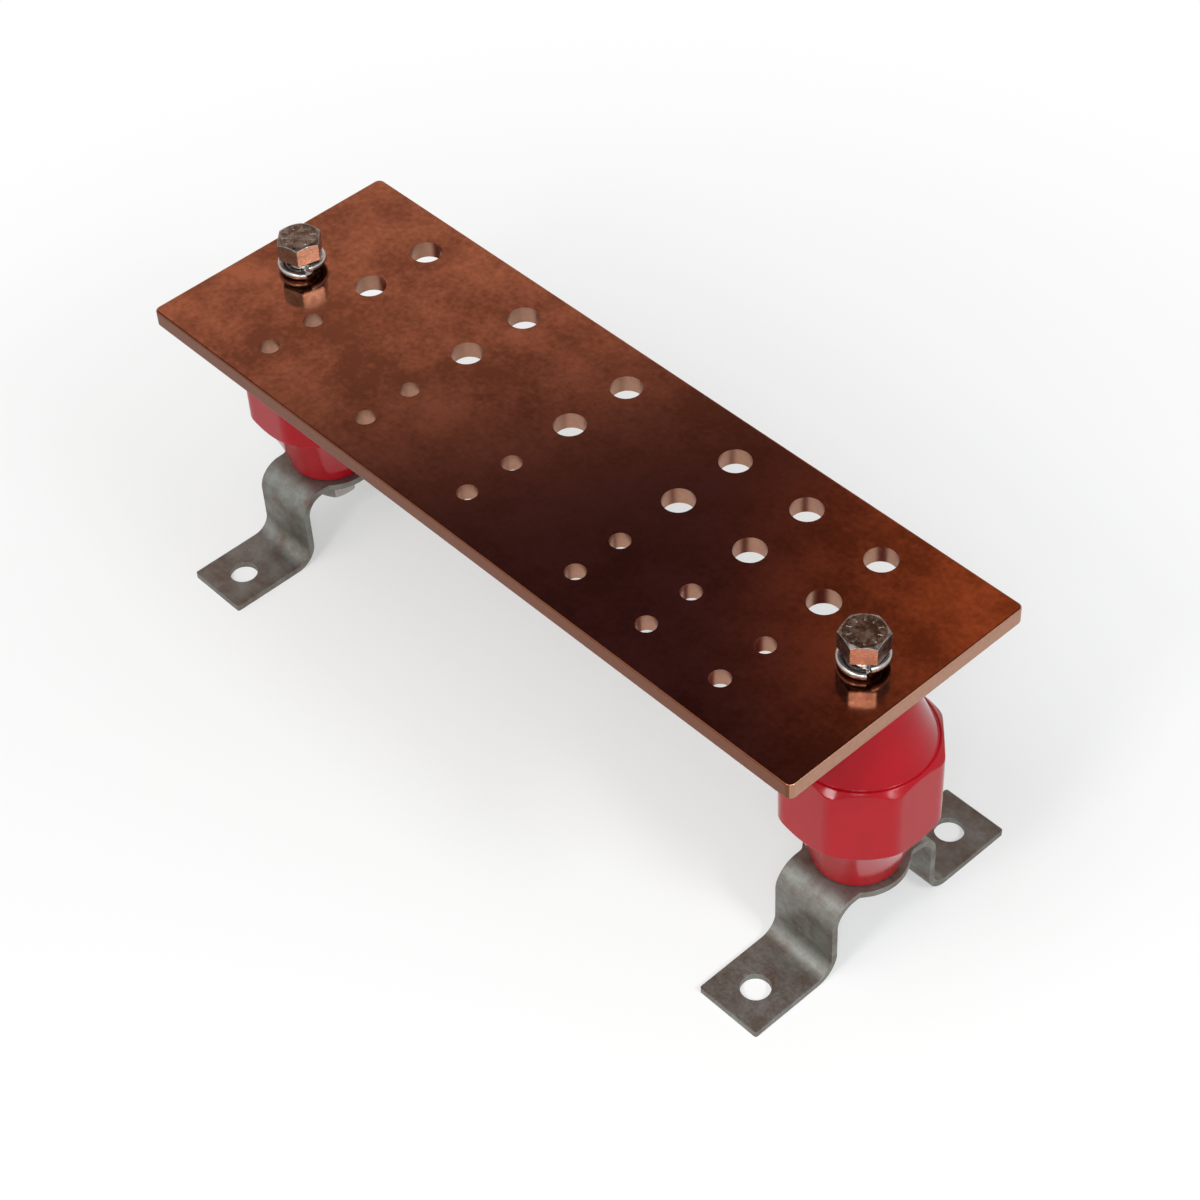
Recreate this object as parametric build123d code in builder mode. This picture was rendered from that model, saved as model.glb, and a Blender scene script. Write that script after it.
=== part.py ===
from build123d import *
import os
from math import cos, pi, radians, tan

# Ground busbar: a drilled copper bar carried clear of the wall by two moulded
# insulators, each bolted to a bent steel bracket. Millimetres. The origin is on
# the floor under the bar's centre, X runs along the bar and Z is up.
INCH = 25.4

# Copper bar
bar_length = 12 * INCH
bar_width = 4 * INCH
bar_thickness = INCH / 4
bar_corner_radius = 2.4
bar_edge_radius = 0.7

# Lug holes: columns are counted from the bar's left end, rows from its long edges
large_lug_dia = 7 / 16 * INCH
small_lug_dia = 9 / 32 * INCH
end_to_first_column = 1.75 * INCH
wide_column_pitch = 2 * INCH
narrow_column_pitch = 1.25 * INCH
wide_pitches = 3
narrow_pitches = 2
edge_to_row = 5 / 8 * INCH
large_row_pitch = INCH
small_row_pitch = 3 / 4 * INCH

# Mounting holes, on the bar's centreline
mounting_span = 10.5 * INCH
mounting_hole_dia = 7 / 16 * INCH

# Standoff insulator: an eight-sided band between two cones, each with a short land at its
# end. The band's corners are turned off at its ends, from a circle within the flats.
insulator_height = 3.25 * INCH
band_across_flats = 2 * INCH
band_height = 1.25 * INCH
band_turn = 22.5
band_corner_radius = 6.0
band_end_dia = 1.9375 * INCH
band_bevel = 3.0
cone_base_dia = 1.875 * INCH
end_dia = 1.1875 * INCH
end_land = 1.5
end_edge_chamfer = 0.5

# Threaded insert moulded into each end of the insulator
insert_across_flats = 5 / 8 * INCH
insert_depth = 3 / 4 * INCH
insert_waist_dia = 1 / 2 * INCH
insert_collar_height = 5.0
insert_bore_depth = 5 / 8 * INCH

# 3/8 in hexagon bolts
thread_dia = 3 / 8 * INCH
thread_clearance = 0.05
head_across_flats = 9 / 16 * INCH
head_height = 5 / 16 * INCH
head_top_land = 0.4
head_cone_angle = 30
bolt_tip_chamfer = 1.0
bar_bolt_length = 7 / 8 * INCH
bracket_bolt_length = 3 / 4 * INCH

# Split lock washers, still sprung: one turn of a left-handed coil
washer_outer_dia = 0.68 * INCH
washer_bore_clearance = 0.2
washer_thickness = 7 / 64 * INCH
washer_rise = 7 / 64 * INCH
washer_split = 1.2

# Offset bracket, bent from one flat blank
sheet = 3 / 32 * INCH
bracket_height = 1.25 * INCH
bracket_width = INCH
disc_dia = 1.375 * INCH
disc_root_radius = 2.5
leg_face_distance = 24.2
upper_bend_radius = 9.5
lower_bend_radius = 6.5
foot_hole_span = 3.625 * INCH
foot_hole_dia = 13 / 32 * INCH
foot_hole_to_tip = INCH / 2
foot_corner_radius = 0.8
centre_hole_dia = 13 / 32 * INCH

# Turn of each hexagon head about its own axis
bar_bolt_turns = {"left": 16, "right": 42}
bracket_bolt_turns = {"left": 22, "right": 5}
washer_turns = {"left": -29, "right": -41}

# How near an edge or corner must lie to the place it is picked by
pick_margin = 0.01

# Places that follow from the sizes
insulator_bottom = bracket_height
insulator_middle = insulator_bottom + insulator_height / 2
insulator_top = insulator_bottom + insulator_height
band_bottom = insulator_middle - band_height / 2
band_top = insulator_middle + band_height / 2
bar_top = insulator_top + bar_thickness
sides = {"left": -mounting_span / 2, "right": mounting_span / 2}
ends = {"top": (insulator_top, -1), "bottom": (insulator_bottom, 1)}

os.makedirs("parts", exist_ok=True)


def hex_bolt(x, seat, shank_way, length, turn):
    """A hexagon bolt bearing at height seat, its shank up (1) or down (-1)."""
    head_plane = Plane(origin=(x, 0, seat), x_dir=(1, 0, 0), z_dir=(0, 0, -shank_way))
    side_plane = Plane(origin=(x, 0, seat), x_dir=(1, 0, 0), z_dir=(0, shank_way, 0))
    corner_radius = head_across_flats / 2 / cos(radians(30))
    top_radius = head_across_flats / 2 - head_top_land
    corner_drop = (corner_radius - top_radius) * tan(radians(head_cone_angle))
    with BuildPart() as bolt:
        with BuildSketch(head_plane):
            RegularPolygon(head_across_flats / 2, 6, major_radius=False, rotation=turn)
        extrude(amount=head_height)
        # The head's top corners are turned off by a cone
        with BuildSketch(side_plane):
            with BuildLine():
                Polyline(
                    (0, 0),
                    (corner_radius, 0),
                    (corner_radius, head_height - corner_drop),
                    (top_radius, head_height),
                    (0, head_height),
                    close=True,
                )
            make_face()
        revolve(axis=Axis((x, 0, 0), (0, 0, 1)), mode=Mode.INTERSECT)
        with BuildSketch(head_plane):
            Circle(thread_dia / 2 - thread_clearance)
        extrude(amount=-length)
        tip = bolt.faces().sort_by(Axis.Z)[-1 if shank_way > 0 else 0]
        chamfer(tip.edges(), bolt_tip_chamfer)
    return bolt.part


def lock_washer(x, bottom, turn):
    """A split lock washer whose flat wire rises clockwise from one side of the split to the other."""
    bore_radius = thread_dia / 2 + washer_bore_clearance
    wire_width = washer_outer_dia / 2 - bore_radius
    coil_radius = bore_radius + wire_width / 2
    share_of_turn = 1 - washer_split / (2 * pi * coil_radius)
    with BuildPart() as washer:
        with BuildLine() as coil:
            Helix(
                pitch=washer_rise / share_of_turn,
                height=washer_rise,
                radius=coil_radius,
                center=(0, 0, washer_thickness / 2),
                lefthand=True,
            )
        with BuildSketch(Plane(origin=coil.line @ 0, x_dir=(1, 0, 0), z_dir=(0, -1, 0))):
            Rectangle(wire_width, washer_thickness)
        sweep(path=coil.line, is_frenet=True)
    return washer.part.moved(Location((x, 0, bottom), (0, 0, turn)))


def insert_plug(x, mouth, inward):
    """The solid outline of an insert: hexagon bar with a round waist that keys it in."""
    mouth_plane = Plane(origin=(x, 0, mouth), x_dir=(1, 0, 0), z_dir=(0, 0, inward))
    waist_length = insert_depth - 2 * insert_collar_height
    with BuildPart() as plug:
        with BuildSketch(mouth_plane, mouth_plane.offset(insert_depth - insert_collar_height)):
            RegularPolygon(insert_across_flats / 2, 6, major_radius=False)
        extrude(amount=insert_collar_height)
        with BuildSketch(mouth_plane.offset(insert_collar_height)):
            Circle(insert_waist_dia / 2)
        extrude(amount=waist_length)
    return plug.part


def keep(part, name):
    """Labels a finished piece and writes its file."""
    part.label = name
    export_step(part, f"parts/{name}.step")


# Copper bar: drilled flat stock with slightly rolled edges
first_column = -bar_length / 2 + end_to_first_column
wide_columns = [first_column + i * wide_column_pitch for i in range(wide_pitches + 1)]
narrow_columns = [wide_columns[-1] + (i + 1) * narrow_column_pitch for i in range(narrow_pitches)]
columns = wide_columns + narrow_columns
first_large_row = bar_width / 2 - edge_to_row
large_rows = [first_large_row, first_large_row - large_row_pitch]
first_small_row = -bar_width / 2 + edge_to_row
small_rows = [first_small_row, first_small_row + small_row_pitch]

with BuildPart() as copper_bar:
    with BuildSketch(Plane.XY.offset(insulator_top)):
        RectangleRounded(bar_length, bar_width, bar_corner_radius)
    extrude(amount=bar_thickness)
    fillet(copper_bar.edges().group_by(Axis.Z)[0], bar_edge_radius)
    fillet(copper_bar.edges().group_by(Axis.Z)[-1], bar_edge_radius)
    with BuildSketch(Plane.XY.offset(insulator_top)):
        with Locations([(x, y) for x in columns for y in large_rows]):
            Circle(large_lug_dia / 2)
        with Locations([(x, y) for x in columns for y in small_rows]):
            Circle(small_lug_dia / 2)
        with Locations([(x, 0) for x in sides.values()]):
            Circle(mounting_hole_dia / 2)
    extrude(amount=bar_thickness, mode=Mode.SUBTRACT)
keep(copper_bar.part, "copper_bar")

for side, x in sides.items():
    axis = Axis((x, 0, 0), (0, 0, 1))
    section = Plane(origin=(x, 0, 0), x_dir=(1, 0, 0), z_dir=(0, -1, 0))

    # Inserts: hexagon plugs with a blind hole for the bolt
    plugs = [insert_plug(x, mouth, inward) for mouth, inward in ends.values()]
    for plug, (end, (mouth, inward)) in zip(plugs, ends.items()):
        with BuildPart() as insert:
            add(plug)
            with BuildSketch(Plane(origin=(x, 0, mouth), x_dir=(1, 0, 0), z_dir=(0, 0, inward))):
                Circle(thread_dia / 2)
            extrude(amount=insert_bore_depth, mode=Mode.SUBTRACT)
        keep(insert.part, f"insert_{side}_{end}")

    # Insulator: two cones end to end, the eight-sided band round their middle, and the
    # inserts' outlines taken out of both ends
    with BuildPart() as insulator:
        with BuildSketch(section):
            with BuildLine():
                Polyline(
                    (0, insulator_bottom),
                    (end_dia / 2 - end_edge_chamfer, insulator_bottom),
                    (end_dia / 2, insulator_bottom + end_edge_chamfer),
                    (end_dia / 2, insulator_bottom + end_land),
                    (cone_base_dia / 2, band_bottom),
                    (cone_base_dia / 2, band_top),
                    (end_dia / 2, insulator_top - end_land),
                    (end_dia / 2, insulator_top - end_edge_chamfer),
                    (end_dia / 2 - end_edge_chamfer, insulator_top),
                    (0, insulator_top),
                    close=True,
                )
            make_face()
        revolve(axis=axis)
        with BuildPart(mode=Mode.PRIVATE) as band:
            with BuildSketch(Plane(origin=(x, 0, insulator_middle), z_dir=(0, 0, 1))) as flats:
                RegularPolygon(band_across_flats / 2, 8, major_radius=False, rotation=band_turn)
                fillet(flats.vertices(), band_corner_radius)
            extrude(amount=band_height / 2, both=True)
            with BuildSketch(section):
                with BuildLine():
                    Polyline(
                        (0, band_bottom),
                        (band_end_dia / 2, band_bottom),
                        (band_end_dia / 2 + band_bevel, band_bottom + band_bevel),
                        (band_end_dia / 2 + band_bevel, band_top - band_bevel),
                        (band_end_dia / 2, band_top),
                        (0, band_top),
                        close=True,
                    )
                make_face()
            revolve(axis=axis, mode=Mode.INTERSECT)
        add(band.part)
        for plug in plugs:
            add(plug, mode=Mode.SUBTRACT)
    keep(insulator.part, f"insulator_{side}")

    # Bracket: a disc and two legs bent down, then out again as feet, from one sheet
    bend_start = leg_face_distance - upper_bend_radius
    foot_tip = foot_hole_span / 2 + foot_hole_to_tip
    leg_inside = leg_face_distance - sheet
    bends = [
        ((leg_inside, bracket_height - sheet), upper_bend_radius - sheet),
        ((leg_face_distance, bracket_height), upper_bend_radius),
        ((leg_face_distance, sheet), lower_bend_radius),
        ((leg_inside, 0), lower_bend_radius + sheet),
    ]
    with BuildPart() as bracket:
        with BuildSketch(Plane(origin=(x, 0, 0), x_dir=(0, 1, 0), z_dir=(1, 0, 0))) as fold:
            with BuildLine():
                Polyline(
                    (0, bracket_height),
                    (leg_face_distance, bracket_height),
                    (leg_face_distance, sheet),
                    (foot_tip, sheet),
                    (foot_tip, 0),
                    (leg_inside, 0),
                    (leg_inside, bracket_height - sheet),
                    (0, bracket_height - sheet),
                    close=True,
                )
            make_face()
            for corner, radius in bends:
                fillet(fold.vertices().sort_by_distance(corner)[0], radius)
            mirror(about=Plane.YZ)
        extrude(amount=bracket_width / 2, both=True)
        tip_corners = bracket.edges().filter_by(Axis.Z).filter_by(
            lambda edge: abs(edge.center().Y) > foot_tip - pick_margin
        )
        fillet(tip_corners, foot_corner_radius)
        with BuildSketch(Plane.XY.offset(bracket_height)) as flat:
            with Locations((x, 0)):
                Circle(disc_dia / 2)
                Rectangle(disc_dia, bend_start * 2, mode=Mode.INTERSECT)
                Rectangle(bracket_width, bend_start * 2)
            roots = flat.vertices().filter_by(lambda v: abs(v.Y) < bend_start - pick_margin)
            roots = roots.filter_by(lambda v: abs(v.X - x) > bracket_width / 2 - pick_margin)
            fillet(roots, disc_root_radius)
        extrude(amount=-sheet)
        with BuildSketch():
            with Locations((x, foot_hole_span / 2), (x, -foot_hole_span / 2)):
                Circle(foot_hole_dia / 2)
        extrude(amount=sheet, mode=Mode.SUBTRACT)
        with BuildSketch(Plane.XY.offset(bracket_height - sheet)):
            with Locations((x, 0)):
                Circle(centre_hole_dia / 2)
        extrude(amount=sheet, mode=Mode.SUBTRACT)
    keep(bracket.part, f"bracket_{side}")

    # Fasteners: one bolt and one lock washer above the bar, one pair under the disc
    keep(lock_washer(x, bar_top, washer_turns[side]), f"bar_washer_{side}")
    bar_seat = bar_top + washer_thickness + washer_rise
    keep(hex_bolt(x, bar_seat, -1, bar_bolt_length, bar_bolt_turns[side]), f"bar_bolt_{side}")
    bracket_seat = bracket_height - sheet - washer_thickness - washer_rise
    keep(lock_washer(x, bracket_seat, washer_turns[side]), f"bracket_washer_{side}")
    bracket_bolt = hex_bolt(x, bracket_seat, 1, bracket_bolt_length, bracket_bolt_turns[side])
    keep(bracket_bolt, f"bracket_bolt_{side}")
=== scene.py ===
from math import copysign, cos, pi, radians, sin, tan

import bmesh
import bpy
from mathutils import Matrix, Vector


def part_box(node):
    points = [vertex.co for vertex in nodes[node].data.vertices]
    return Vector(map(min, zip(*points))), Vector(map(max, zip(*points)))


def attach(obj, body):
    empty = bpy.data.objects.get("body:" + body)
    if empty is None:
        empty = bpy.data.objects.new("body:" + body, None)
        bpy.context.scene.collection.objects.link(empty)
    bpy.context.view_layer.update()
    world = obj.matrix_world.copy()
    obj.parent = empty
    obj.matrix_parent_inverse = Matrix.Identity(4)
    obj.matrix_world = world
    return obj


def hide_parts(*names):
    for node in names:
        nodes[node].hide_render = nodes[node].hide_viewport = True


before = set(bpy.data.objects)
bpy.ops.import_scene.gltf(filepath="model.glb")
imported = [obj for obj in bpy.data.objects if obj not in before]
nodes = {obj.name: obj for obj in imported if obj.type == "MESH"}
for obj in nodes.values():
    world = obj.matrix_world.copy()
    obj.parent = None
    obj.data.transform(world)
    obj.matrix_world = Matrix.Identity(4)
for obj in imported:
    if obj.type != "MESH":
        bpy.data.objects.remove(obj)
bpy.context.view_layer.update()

# Camera: a long lens held above the bar's near right corner and looking down along it,
# as the photograph was taken.
lens = bpy.data.cameras.new("long_lens")
lens.lens = 84.47
lens.sensor_width = 36
lens.clip_start = 0.01
camera = bpy.data.objects.new("camera", lens)
camera.location = (0.5150, -0.4282, 0.7374)
camera.rotation_euler = (radians(44.177), radians(2.421), radians(46.960))
bpy.context.collection.objects.link(camera)
bpy.context.scene.camera = camera
bpy.context.scene.view_settings.view_transform = "Standard"

# Studio: a white paper floor that runs into white all round, a large soft lamp overhead
# and four small ones near the camera, which the bolt flats and the insulators mirror.
smoothly = {"interpolation_type": "SMOOTHSTEP"}
room_strength_on_things = 0.36
room_strength_seen = 1.0
floor_size = 14
paper_near, paper_far = 0.08, 0.44
paper_white_near, paper_white_far = 0.40, 1.0


def colour(code):
    """An sRGB hex code as linear RGBA."""
    parts = [int(code[i:i + 2], 16) / 255 for i in (1, 3, 5)]
    return [p / 12.92 if p < 0.04045 else ((p + 0.055) / 1.055) ** 2.4 for p in parts] + [1]


def add(tree, kind, settings=None, **inputs):
    """Adds a node with its settings. An input is a value or another node's output.

    Inputs go by name, or by number where in0 is the first.
    """
    node = tree.nodes.new(kind)
    for name, value in (settings or {}).items():
        setattr(node, name, value)
    for name, value in inputs.items():
        key = int(name[2:]) if name[:2] == "in" and name[2:].isdigit() else name.replace("_", " ")
        if isinstance(value, bpy.types.NodeSocket):
            tree.links.new(value, node.inputs[key])
        else:
            node.inputs[key].default_value = value
    return node


def finish_of(name):
    """A new empty material and its node tree."""
    made = bpy.data.materials.new(name)
    made.use_nodes = True
    made.node_tree.nodes.clear()
    return made, made.node_tree


def seen_directly(tree):
    """1 for what the camera, a reflection or glass sees, 0 for light that falls on things."""
    path = add(tree, "ShaderNodeLightPath")
    either = add(tree, "ShaderNodeMath", {"operation": "MAXIMUM"},
                 in0=path.outputs["Is Camera Ray"], in1=path.outputs["Is Glossy Ray"])
    return add(tree, "ShaderNodeMath", {"operation": "MAXIMUM"},
               in0=either.outputs[0], in1=path.outputs["Is Transmission Ray"]).outputs[0]


def soft_lamp(name, place, aim, size, watts, tint="#FFFFFF"):
    """A square area lamp at place, turned to aim, that the camera itself doesn't see."""
    data = bpy.data.lights.new(name, "AREA")
    data.size = size
    data.energy = watts
    data.color = colour(tint)[:3]
    lamp = bpy.data.objects.new(name, data)
    lamp.location = place
    lamp.rotation_euler = (Vector(aim) - Vector(place)).to_track_quat("-Z", "Y").to_euler()
    lamp.visible_camera = False
    bpy.context.collection.objects.link(lamp)


world = bpy.data.worlds.new("white_room")
bpy.context.scene.world = world
world.use_nodes = True
world.node_tree.nodes.clear()
room_light = add(world.node_tree, "ShaderNodeMapRange", Value=seen_directly(world.node_tree),
                 in3=room_strength_on_things, in4=room_strength_seen)
room = add(world.node_tree, "ShaderNodeBackground", Color=colour("#FFFFFF"),
           Strength=room_light.outputs[0])
add(world.node_tree, "ShaderNodeOutputWorld", Surface=room.outputs[0])

# The paper has a white of its own that grows away from the object. Near it the lamps light
# most of what is seen of the paper, so the object's shadow stays.
paper, tree = finish_of("white_paper")
away = add(tree, "ShaderNodeVectorMath", {"operation": "LENGTH"},
           in0=add(tree, "ShaderNodeNewGeometry").outputs["Position"])
own_white = add(tree, "ShaderNodeMapRange", smoothly, Value=away.outputs["Value"],
                in1=paper_near, in2=paper_far, in3=paper_white_near, in4=paper_white_far)
share = add(tree, "ShaderNodeMath", {"operation": "MULTIPLY"},
            in0=seen_directly(tree), in1=own_white.outputs[0])
lit = add(tree, "ShaderNodeBsdfDiffuse", Color=colour("#F6F6F4"))
white = add(tree, "ShaderNodeEmission", Color=colour("#FFFFFF"), Strength=1.0)
mixed = add(tree, "ShaderNodeMixShader",
            in0=share.outputs[0], in1=lit.outputs[0], in2=white.outputs[0])
add(tree, "ShaderNodeOutputMaterial", Surface=mixed.outputs[0])
bpy.ops.mesh.primitive_plane_add(size=floor_size)
floor = bpy.context.object
floor.name = "floor"
floor.data.materials.append(paper)

soft_lamp("lamp_overhead", (-0.1, -0.8, 1.7), (0, 0, 0.05), 1.0, 9)
soft_lamp("lamp_behind_camera", (0.58, -0.50, 0.80), (0, 0, 0.09), 0.20, 1.8, "#EEFAFF")
soft_lamp("lamp_left_of_camera", (0.20, -0.76, 0.74), (0.05, 0, 0.09), 0.18, 2.6)
soft_lamp("lamp_right_of_camera", (0.78, 0.05, 0.74), (0.05, 0, 0.09), 0.18, 2.3, "#F4FBFF")
soft_lamp("lamp_beyond_right_end", (0.92, -0.08, 0.74), (0.13, 0, 0.08), 0.13, 1.3)

# Ceiling: stands in for the dim room with warm lamps that the bar reflects, with light beyond
# the bar's far end and over its right corner, and dark between. Only reflections see it.
of_colours = {"data_type": "RGBA"}
ceiling_height = 1.32
ceiling_corners = ((-2.6, -0.6), (-2.6, 2.2), (0.6, 2.2), (0.6, -0.6))
far_light_slant = -0.66
far_light_from, far_light_to = -1.46, -1.86
corner_light_place = (-0.47, 1.08, ceiling_height)
corner_light_core, corner_light_reach = 0.10, 0.44

dim_room, tree = finish_of("dim_room")
where = add(tree, "ShaderNodeNewGeometry").outputs["Position"]
axes = add(tree, "ShaderNodeSeparateXYZ", in0=where)
slant = add(tree, "ShaderNodeMath", {"operation": "MULTIPLY_ADD"},
            in0=axes.outputs["Y"], in1=far_light_slant, in2=axes.outputs["X"])
far_light = add(tree, "ShaderNodeMapRange", smoothly, Value=slant.outputs[0],
                in1=far_light_from, in2=far_light_to)
off_corner_light = add(tree, "ShaderNodeVectorMath", {"operation": "DISTANCE"},
                       in0=where, in1=corner_light_place)
corner_light = add(tree, "ShaderNodeMapRange", smoothly, Value=off_corner_light.outputs["Value"],
                   in1=corner_light_core, in2=corner_light_reach, in3=1.0, in4=0.0)
dim = add(tree, "ShaderNodeMix", of_colours, in0=far_light.outputs[0],
          in6=colour("#5A4D60"), in7=colour("#FFDDCC"))
dim = add(tree, "ShaderNodeMix", of_colours, in0=corner_light.outputs[0],
          in6=dim.outputs[2], in7=colour("#FFBE88"))
dim_light = add(tree, "ShaderNodeEmission", Color=dim.outputs[2], Strength=1.05)
add(tree, "ShaderNodeOutputMaterial", Surface=dim_light.outputs[0])
ceiling_mesh = bpy.data.meshes.new("ceiling")
ceiling_mesh.from_pydata([(x, y, ceiling_height) for x, y in ceiling_corners], [], [(0, 1, 2, 3)])
ceiling_mesh.materials.append(dim_room)
ceiling = bpy.data.objects.new("ceiling", ceiling_mesh)
bpy.context.collection.objects.link(ceiling)
ceiling.visible_camera = False
ceiling.visible_diffuse = False
ceiling.visible_shadow = False

# Copper bar: hard-drawn flat bar, rolled smooth and polished, then handled, so its faces
# carry a brown film. The sawn ends and the drilled holes are newer, paler copper.
MM = 0.001
of_numbers = {"data_type": "FLOAT"}
bar_half_length = 152.4 * MM
bar_half_width = 50.8 * MM
side_margin = 0.9 * MM
film_reddens_from, film_reddens_to = -0.09, 0.12


def cover(node_name, material):
    """Gives a CAD node one material in all its slots."""
    obj = nodes[node_name]
    obj.data.materials.clear()
    obj.data.materials.append(material)


def levelness(tree):
    """1 where a surface looks straight up or down, 0 where it stands upright."""
    facing = add(tree, "ShaderNodeSeparateXYZ",
                 in0=add(tree, "ShaderNodeNewGeometry").outputs["Normal"])
    return add(tree, "ShaderNodeMath", {"operation": "ABSOLUTE"}, in0=facing.outputs["Z"]).outputs[0]


copper, tree = finish_of("polished_copper_bar")
place = add(tree, "ShaderNodeTexCoord").outputs["Object"]
spot = add(tree, "ShaderNodeSeparateXYZ", in0=place)
# Film: cloudy patches some 20 mm wide with fine mottling of 2 mm in them
clouds = add(tree, "ShaderNodeTexNoise",
             Vector=place, Scale=1 / (22 * MM), Detail=4.0, Roughness=0.55)
mottle = add(tree, "ShaderNodeTexNoise",
             Vector=place, Scale=1 / (2 * MM), Detail=3.0, Roughness=0.6)
patchy = add(tree, "ShaderNodeMix", of_numbers,
             in0=0.35, in2=clouds.outputs["Fac"], in3=mottle.outputs["Fac"])
film = add(tree, "ShaderNodeValToRGB", Fac=patchy.outputs[0])
film.color_ramp.elements[0].position = 0.40
film.color_ramp.elements[0].color = colour("#704532")
film.color_ramp.elements[1].position = 0.62
film.color_ramp.elements[1].color = colour("#97624B")
# The film's colour is made redder towards the right end
toward_right_end = add(tree, "ShaderNodeMapRange", smoothly, Value=spot.outputs["X"],
            in1=film_reddens_from, in2=film_reddens_to)
redder = add(tree, "ShaderNodeMix", {"data_type": "RGBA", "blend_type": "MULTIPLY"},
             in0=toward_right_end.outputs[0], in6=film.outputs[0], in7=colour("#F3E5E4"))
# Drilled walls and sawn ends are fresh copper; the rolled long edges carry the film and are painted
# darker than the faces, as painted shade
fresh = add(tree, "ShaderNodeMix", of_colours, in0=mottle.outputs["Fac"],
            in6=colour("#986F5B"), in7=colour("#B08671"))
sawn = add(tree, "ShaderNodeMix", of_colours, in0=mottle.outputs["Fac"],
           in6=colour("#A1755F"), in7=colour("#B88C74"))
# Painted shade: the rolled long edges are darker than the faces' film
rolled = add(tree, "ShaderNodeMix", of_colours, in0=mottle.outputs["Fac"],
             in6=colour("#6D3F2B"), in7=colour("#804F37"))
out_x = add(tree, "ShaderNodeMath", {"operation": "ABSOLUTE"}, in0=spot.outputs["X"])
at_end = add(tree, "ShaderNodeMath", {"operation": "GREATER_THAN"},
             in0=out_x.outputs[0], in1=bar_half_length - side_margin)
out_y = add(tree, "ShaderNodeMath", {"operation": "ABSOLUTE"}, in0=spot.outputs["Y"])
at_edge = add(tree, "ShaderNodeMath", {"operation": "GREATER_THAN"},
              in0=out_y.outputs[0], in1=bar_half_width - side_margin)
side = add(tree, "ShaderNodeMix", of_colours, in0=at_edge.outputs[0],
           in6=fresh.outputs[2], in7=rolled.outputs[2])
side = add(tree, "ShaderNodeMix", of_colours, in0=at_end.outputs[0],
           in6=side.outputs[2], in7=sawn.outputs[2])
is_face = add(tree, "ShaderNodeMapRange", smoothly, Value=levelness(tree), in1=0.75, in2=0.99)
metal = add(tree, "ShaderNodeMix", of_colours, in0=is_face.outputs[0],
            in6=side.outputs[2], in7=redder.outputs[2])
# Polished faces mirror what is above them, a little less where the film is dark, and cut
# ones hardly do
polish = add(tree, "ShaderNodeMapRange", Value=patchy.outputs[0],
             in1=0.3, in2=0.7, in3=0.16, in4=0.08)
cut = add(tree, "ShaderNodeMix", of_numbers,
          in0=is_face.outputs[0], in2=0.36, in3=polish.outputs[0])
# Rolling lines run along the bar, drawn 0.6 mm apart so that they just show
along = add(tree, "ShaderNodeMapping", Vector=place, Scale=(12, 1 / (0.6 * MM), 1 / (0.6 * MM)))
lines = add(tree, "ShaderNodeTexNoise",
            Vector=along.outputs[0], Scale=1.0, Detail=2.0, Roughness=0.5)
grain = add(tree, "ShaderNodeBump", Height=lines.outputs["Fac"], Strength=0.06, Distance=0.05 * MM)
skin = add(tree, "ShaderNodeBsdfPrincipled", Base_Color=metal.outputs[2], Metallic=1.0,
           Roughness=cut.outputs[0], Normal=grain.outputs[0])
add(tree, "ShaderNodeOutputMaterial", Surface=skin.outputs[0])
cover("copper_bar", copper)

# Insulators: glass-filled polyester, pressed hot in a steel mould and left as moulded,
# which gives a glossy red skin with a faint waviness and soft edges. The band has eight
# flats to hold it by, and a cone runs from it to each end.
insulators_at = {"left": -133.35 * MM, "right": 133.35 * MM}
insulator_middle = 73.025 * MM
insulator_half = 41.275 * MM
band_half = 15.875 * MM
band_flats = 50.8 * MM
band_corner = 6.0 * MM
band_end_radius = 24.606 * MM
cone_foot_radius = 23.8125 * MM
cone_waist = 0.6 * MM
cone_rings = 8
end_radius = 15.081 * MM
end_land = 1.5 * MM
end_chamfer = 0.5 * MM
socket_flats = 15.875 * MM
socket_neck = 6.35 * MM
socket_collar = 5.0 * MM
socket_depth = 19.05 * MM
insulator_steps = 144
insulator_edge_round = 0.34 * MM
crease_angle = radians(24)

polyester, tree = finish_of("moulded_red_polyester")
place = add(tree, "ShaderNodeTexCoord").outputs["Object"]
flow = add(tree, "ShaderNodeTexNoise",
           Vector=place, Scale=1 / (12 * MM), Detail=4.0, Roughness=0.55)
shade = add(tree, "ShaderNodeMix", of_colours, in0=flow.outputs["Fac"],
            in6=colour("#9A0814"), in7=colour("#B0101F"))
wave = add(tree, "ShaderNodeTexNoise", Vector=place, Scale=1 / (5 * MM), Detail=2.0)
ripple = add(tree, "ShaderNodeBump", Height=wave.outputs["Fac"], Strength=0.05, Distance=0.2 * MM)
shine = add(tree, "ShaderNodeMapRange", Value=flow.outputs["Fac"],
            in1=0.3, in2=0.7, in3=0.10, in4=0.18)
skin = add(tree, "ShaderNodeBsdfPrincipled", Base_Color=shade.outputs[2],
           Roughness=shine.outputs[0], IOR=1.54, Specular_IOR_Level=0.18, Normal=ripple.outputs[0])
add(tree, "ShaderNodeOutputMaterial", Surface=skin.outputs[0])


def at(value, angle):
    """A size at an angle: a number is the same all round, and a function is asked."""
    return value(angle) if callable(value) else value


def ring(mesh, radius, height, steps):
    """One closed ring of corners round the upright axis."""
    angles = [2 * pi * i / steps for i in range(steps)]
    return [mesh.verts.new((at(radius, a) * cos(a), at(radius, a) * sin(a), at(height, a)))
            for a in angles]


def skin_rings(mesh, rings):
    """Quads from each ring to the next, and a cap on the first and the last."""
    for low, high in zip(rings, rings[1:]):
        for i in range(len(low)):
            j = (i + 1) % len(low)
            mesh.faces.new((low[i], low[j], high[j], high[i]))
    mesh.faces.new(list(reversed(rings[0])))
    mesh.faces.new(rings[-1])


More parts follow.
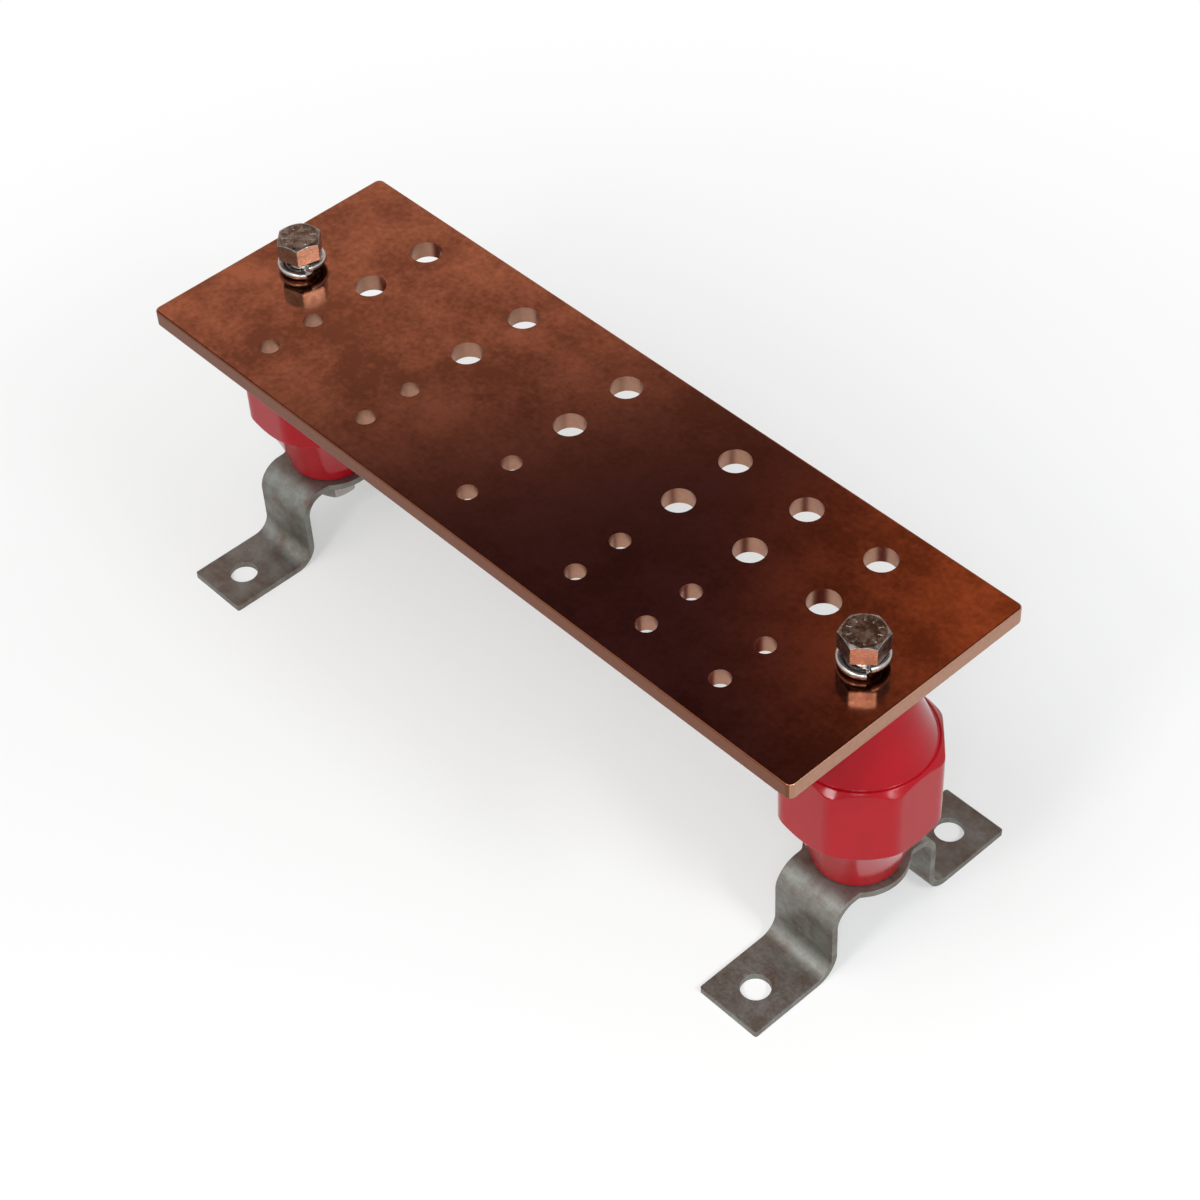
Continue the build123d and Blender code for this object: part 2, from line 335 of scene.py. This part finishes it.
def in_place_of(node_name, name, mesh, material, edge_round):
    """Makes a piece of the mesh, its edges rounded, in place of a CAD node."""
    bmesh.ops.recalc_face_normals(mesh, faces=mesh.faces)
    for face in mesh.faces:
        face.smooth = True
    data = bpy.data.meshes.new(name)
    mesh.to_mesh(data)
    mesh.free()
    data.set_sharp_from_angle(angle=crease_angle)
    data.materials.append(material)
    piece = bpy.data.objects.new(name, data)
    bpy.context.collection.objects.link(piece)
    if edge_round:
        rounded = piece.modifiers.new("rounded_edges", "BEVEL")
        rounded.width = edge_round
        rounded.segments = 3
        rounded.limit_method = "ANGLE"
        rounded.angle_limit = crease_angle
        rounded.harden_normals = True
    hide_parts(node_name)
    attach(piece, "root")


def band_at(angle):
    """The band's radius at an angle: eight flats, one facing along X, with round corners."""
    off_flat = abs((angle + pi / 8) % (pi / 4) - pi / 8)
    centre = (band_flats / 2 - band_corner) / cos(pi / 8)
    if tan(off_flat) * band_flats / 2 <= centre * sin(pi / 8):
        return band_flats / 2 / cos(off_flat)
    off_corner = pi / 8 - off_flat
    return centre * cos(off_corner) + (band_corner ** 2 - (centre * sin(off_corner)) ** 2) ** 0.5


def band_end_at(angle):
    """Where the band's flats end above the middle, its corners turned off at 45 degrees."""
    return band_half - (band_at(angle) - band_end_radius)


def socket_at(angle):
    """The insert socket's radius at an angle, with a corner facing along X."""
    return socket_flats / 2 / cos(angle % (pi / 3) - pi / 6)


def insulator(side, x):
    """One insulator, its lower half the mirror of its upper half, with a socket in each end."""
    # The upper half as (radius, height above the middle), from the band out and into the socket
    half = [(band_at, band_end_at), (band_end_radius, band_half), (cone_foot_radius, band_half)]
    cone_height = insulator_half - end_land - band_half
    for i in range(1, cone_rings + 1):
        t = i / cone_rings
        flank = cone_foot_radius + t * (end_radius - cone_foot_radius) - cone_waist * sin(pi * t)
        half.append((flank, band_half + t * cone_height))
    half += [(end_radius, insulator_half - end_chamfer), (end_radius - end_chamfer, insulator_half)]
    for radius, depth in ((socket_at, 0), (socket_at, socket_collar), (socket_neck, socket_collar),
                          (socket_neck, socket_depth - socket_collar),
                          (socket_at, socket_depth - socket_collar), (socket_at, socket_depth)):
        half.append((radius, insulator_half - depth))
    mesh = bmesh.new()
    lower = [ring(mesh, r, lambda a, z=z: insulator_middle - at(z, a), insulator_steps)
             for r, z in reversed(half)]
    upper = [ring(mesh, r, lambda a, z=z: insulator_middle + at(z, a), insulator_steps)
             for r, z in half]
    skin_rings(mesh, lower + upper)
    bmesh.ops.translate(mesh, verts=mesh.verts, vec=(x, 0, 0))
    in_place_of(f"insulator_{side}", f"moulded_insulator_{side}", mesh, polyester,
                insulator_edge_round)


for side, x in insulators_at.items():
    insulator(side, x)

# Inserts: brass bar, turned and tapped, moulded into both ends of each insulator. Turning
# leaves bright yellow metal, faintly tarnished, and the bolts hide it once they are in.
brass, tree = finish_of("turned_brass")
place = add(tree, "ShaderNodeTexCoord").outputs["Object"]
tarnish = add(tree, "ShaderNodeTexNoise", Vector=place, Scale=1 / (2 * MM), Detail=3.0)
tone = add(tree, "ShaderNodeMix", of_colours, in0=tarnish.outputs["Fac"],
           in6=colour("#A98A4E"), in7=colour("#CDB06F"))
skin = add(tree, "ShaderNodeBsdfPrincipled",
           Base_Color=tone.outputs[2], Metallic=1.0, Roughness=0.3)
add(tree, "ShaderNodeOutputMaterial", Surface=skin.outputs[0])
for side in insulators_at:
    for end in ("top", "bottom"):
        cover(f"insert_{side}_{end}", brass)

# Brackets: stainless sheet, sheared to a blank, bent in a press and tumbled, so it is dull
# grey with a brownish cast, handling marks and edges worn round.
steel, tree = finish_of("tumbled_steel_sheet")
place = add(tree, "ShaderNodeTexCoord").outputs["Object"]
stain = add(tree, "ShaderNodeTexNoise",
            Vector=place, Scale=1 / (8 * MM), Detail=5.0, Roughness=0.62)
speck = add(tree, "ShaderNodeTexNoise", Vector=place, Scale=1 / (1.2 * MM), Detail=2.0)
# Mill lines cross the strip, 0.5 mm apart
across = add(tree, "ShaderNodeMapping", Vector=place, Scale=(30, 1 / (0.5 * MM), 1 / (0.5 * MM)))
mill = add(tree, "ShaderNodeTexNoise", Vector=across.outputs[0], Scale=1.0, Detail=2.0)
blotch = add(tree, "ShaderNodeMix", of_numbers,
             in0=0.14, in2=stain.outputs["Fac"], in3=mill.outputs["Fac"])
tones = add(tree, "ShaderNodeValToRGB", Fac=blotch.outputs[0])
tones.color_ramp.elements[0].position = 0.36
tones.color_ramp.elements[0].color = colour("#73685F")
tones.color_ramp.elements[1].position = 0.64
tones.color_ramp.elements[1].color = colour("#8C8E89")
dull = add(tree, "ShaderNodeMapRange", Value=speck.outputs["Fac"],
           in1=0.3, in2=0.7, in3=0.48, in4=0.64)
soft_edge = add(tree, "ShaderNodeBevel", {"samples": 4}, Radius=0.35 * MM)
peen = add(tree, "ShaderNodeBump", Height=speck.outputs["Fac"], Strength=0.15, Distance=0.05 * MM,
           Normal=soft_edge.outputs[0])
skin = add(tree, "ShaderNodeBsdfPrincipled", Base_Color=tones.outputs[0], Metallic=1.0,
           Roughness=dull.outputs[0], Normal=peen.outputs[0])
add(tree, "ShaderNodeOutputMaterial", Surface=skin.outputs[0])
for side in insulators_at:
    cover(f"bracket_{side}", steel)

# Lock washers: spring steel wire with rolled, rounded corners, coiled one left-handed turn,
# hardened and zinc plated, a grey that is brighter than the bolts.
INCH = 25.4 * MM
washer_outside = 8.60 * MM
washer_inside = 5.0 * MM
washer_thick = 7 / 64 * INCH
washer_rise = 7 / 64 * INCH
washer_gap = radians(10)
washer_turns = {"left": -29, "right": -41}
# The wire's section is a rounded box: 2 would be an ellipse, and more is squarer
wire_squareness = 2.3
coil_steps, wire_steps = 96, 24

zinc, tree = finish_of("zinc_plated_spring_steel")
place = add(tree, "ShaderNodeTexCoord").outputs["Object"]
cloudy = add(tree, "ShaderNodeTexNoise", Vector=place, Scale=1 / (1.5 * MM), Detail=3.0)
tone = add(tree, "ShaderNodeMix", of_colours, in0=cloudy.outputs["Fac"],
           in6=colour("#8F8984"), in7=colour("#C4BEB9"))
skin = add(tree, "ShaderNodeBsdfPrincipled",
           Base_Color=tone.outputs[2], Metallic=1.0, Roughness=0.26)
add(tree, "ShaderNodeOutputMaterial", Surface=skin.outputs[0])


def boxy(wave):
    """A cosine or sine made squarer, as the wire's section is."""
    return copysign(abs(wave) ** (2 / wire_squareness), wave)


def lock_washer(node_name, turn):
    """One coil of wire in place of its CAD node, rising clockwise from its low end at turn."""
    low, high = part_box(node_name)
    x = (low[0] + high[0]) / 2
    middle, half = (washer_outside + washer_inside) / 2, (washer_outside - washer_inside) / 2
    mesh = bmesh.new()
    sections = []
    for i in range(coil_steps + 1):
        along_coil = i / coil_steps
        angle = turn - along_coil * (2 * pi - washer_gap)
        lift = low[2] + washer_thick / 2 + along_coil * washer_rise
        section = []
        for j in range(wire_steps):
            a = 2 * pi * j / wire_steps
            out, up = middle + half * boxy(cos(a)), washer_thick / 2 * boxy(sin(a))
            section.append(mesh.verts.new((x + out * cos(angle), out * sin(angle), lift + up)))
        sections.append(section)
    for one, other in zip(sections, sections[1:]):
        for j in range(wire_steps):
            k = (j + 1) % wire_steps
            mesh.faces.new((one[j], one[k], other[k], other[j]))
    mesh.faces.new(sections[0])
    mesh.faces.new(list(reversed(sections[-1])))
    in_place_of(node_name, f"coil_{node_name}", mesh, zinc, 0)


for side, turn in washer_turns.items():
    for held in ("bar", "bracket"):
        lock_washer(f"{held}_washer_{side}", radians(turn))

# Bolts: 3/8 in stainless hexagon bolts, cold headed, with rolled threads. The head has a bearing
# face under it and a ring of raised dashes on top, and its top is darker and browner than its
# flanks.
thread_dia = 3 / 8 * INCH
thread_pitch = INCH / 16
thread_depth = 0.85 * MM
thread_clearance = 0.05 * MM
thread_runout = 2 * MM
point_taper = 1.0 * MM
thread_rings_a_turn, thread_steps = 4, 36
head_flats = 9 / 16 * INCH
head_height = 5 / 16 * INCH
head_steps = 72
bearing_height = 0.4 * MM
bearing_radius = head_flats / 2 - 0.5 * MM
crown_slope = tan(radians(30))
crown_radius = head_flats / 2 - 0.4 * MM
crown_rim = 0.5 * MM
dashes = 10
dash_height = 0.2 * MM
dash_sunk = 0.05 * MM
# Each dash from inside radius to outside radius, and half its width, at its foot and its top
dash_foot = (4.0 * MM, 5.9 * MM, 0.35 * MM)
dash_top = (4.15 * MM, 5.75 * MM, 0.2 * MM)
bolt_edge_round = 0.14 * MM
bolt_turns = {"bar_bolt_left": -14, "bar_bolt_right": -48,
              "bracket_bolt_left": 52, "bracket_bolt_right": 35}

forged, tree = finish_of("cold_headed_stainless")
place = add(tree, "ShaderNodeTexCoord").outputs["Object"]
head_mottle = add(tree, "ShaderNodeTexNoise",
          Vector=place, Scale=1 / (2.5 * MM), Detail=4.0, Roughness=0.65)
is_top = add(tree, "ShaderNodeMapRange", smoothly, Value=levelness(tree), in1=0.5, in2=0.8)
flank = add(tree, "ShaderNodeMix", of_colours, in0=head_mottle.outputs["Fac"],
            in6=colour("#9A938D"), in7=colour("#B9B3AE"))
# The top of the head is darker and browner than its flanks
darker_head_top = add(tree, "ShaderNodeValToRGB", Fac=head_mottle.outputs["Fac"])
darker_head_top.color_ramp.elements[0].position = 0.40
darker_head_top.color_ramp.elements[0].color = colour("#55493F")
darker_head_top.color_ramp.elements[1].position = 0.62
darker_head_top.color_ramp.elements[1].color = colour("#8E857C")
tone = add(tree, "ShaderNodeMix", of_colours, in0=is_top.outputs[0],
           in6=flank.outputs[2], in7=darker_head_top.outputs[0])
rub = add(tree, "ShaderNodeMapRange", Value=head_mottle.outputs["Fac"],
          in1=0.3, in2=0.7, in3=0.22, in4=0.34)
skin = add(tree, "ShaderNodeBsdfPrincipled",
           Base_Color=tone.outputs[2], Metallic=1.0, Roughness=rub.outputs[0])
add(tree, "ShaderNodeOutputMaterial", Surface=skin.outputs[0])


def hexagon_at(angle):
    """The head's radius at an angle, with a flat facing along X."""
    return head_flats / 2 / cos((angle + pi / 6) % (pi / 3) - pi / 6)


def shank_rings(mesh, length):
    """The rolled thread, winding down from the head to a tapered point."""
    count = int(length / thread_pitch * thread_rings_a_turn)
    rings = []
    for i in range(count + 1):
        down = length * i / count
        taper = max(0.0, down - (length - point_taper))

        def thread_at(angle, down=down, taper=taper):
            phase = (down / thread_pitch + angle / (2 * pi)) % 1
            groove = thread_depth * (1 - abs(2 * phase - 1)) * min(1.0, down / thread_runout)
            return thread_dia / 2 - thread_clearance - max(groove, taper)

        rings.append(ring(mesh, thread_at, -down, thread_steps))
    return rings


def bolt(node_name, turn):
    """A bolt in place of its CAD node: the bar's point down, and the brackets' point up."""
    low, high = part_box(node_name)
    x = (low[0] + high[0]) / 2
    points_up = node_name.startswith("bracket")
    seat = low[2] + head_height if points_up else high[2] - head_height
    # Drawn with its head up, its seat at 0 and a flat facing along X
    mesh = bmesh.new()
    crown_height = head_height - dash_height
    skin_rings(mesh, [ring(mesh, radius, height, head_steps) for radius, height in (
        (bearing_radius, 0.0),
        (bearing_radius, bearing_height),
        (hexagon_at, bearing_height),
        (hexagon_at, lambda a: crown_height - (hexagon_at(a) - crown_radius) * crown_slope),
        (crown_radius, crown_height),
        (crown_radius - crown_rim, crown_height))])
    for i in range(dashes):
        around = 2 * pi * i / dashes
        out = Vector((cos(around), sin(around), 0))
        across = Vector((-sin(around), cos(around), 0))
        skin_rings(mesh, [
            [mesh.verts.new(out * r + across * w + Vector((0, 0, height)))
             for r, w in ((inner, -wide), (outer, -wide), (outer, wide), (inner, wide))]
            for (inner, outer, wide), height in ((dash_foot, crown_height - dash_sunk),
                                                 (dash_top, head_height))])
    skin_rings(mesh, list(reversed(shank_rings(mesh, high[2] - low[2] - head_height))))
    for vert in mesh.verts:
        spun = vert.co.copy()
        vert.co.x = x + spun.x * cos(turn) - spun.y * sin(turn)
        vert.co.y = spun.x * sin(turn) + spun.y * cos(turn)
        vert.co.z = seat - spun.z if points_up else seat + spun.z
    in_place_of(node_name, f"hex_{node_name}", mesh, forged, bolt_edge_round)


for node_name, turn in bolt_turns.items():
    bolt(node_name, radians(turn))
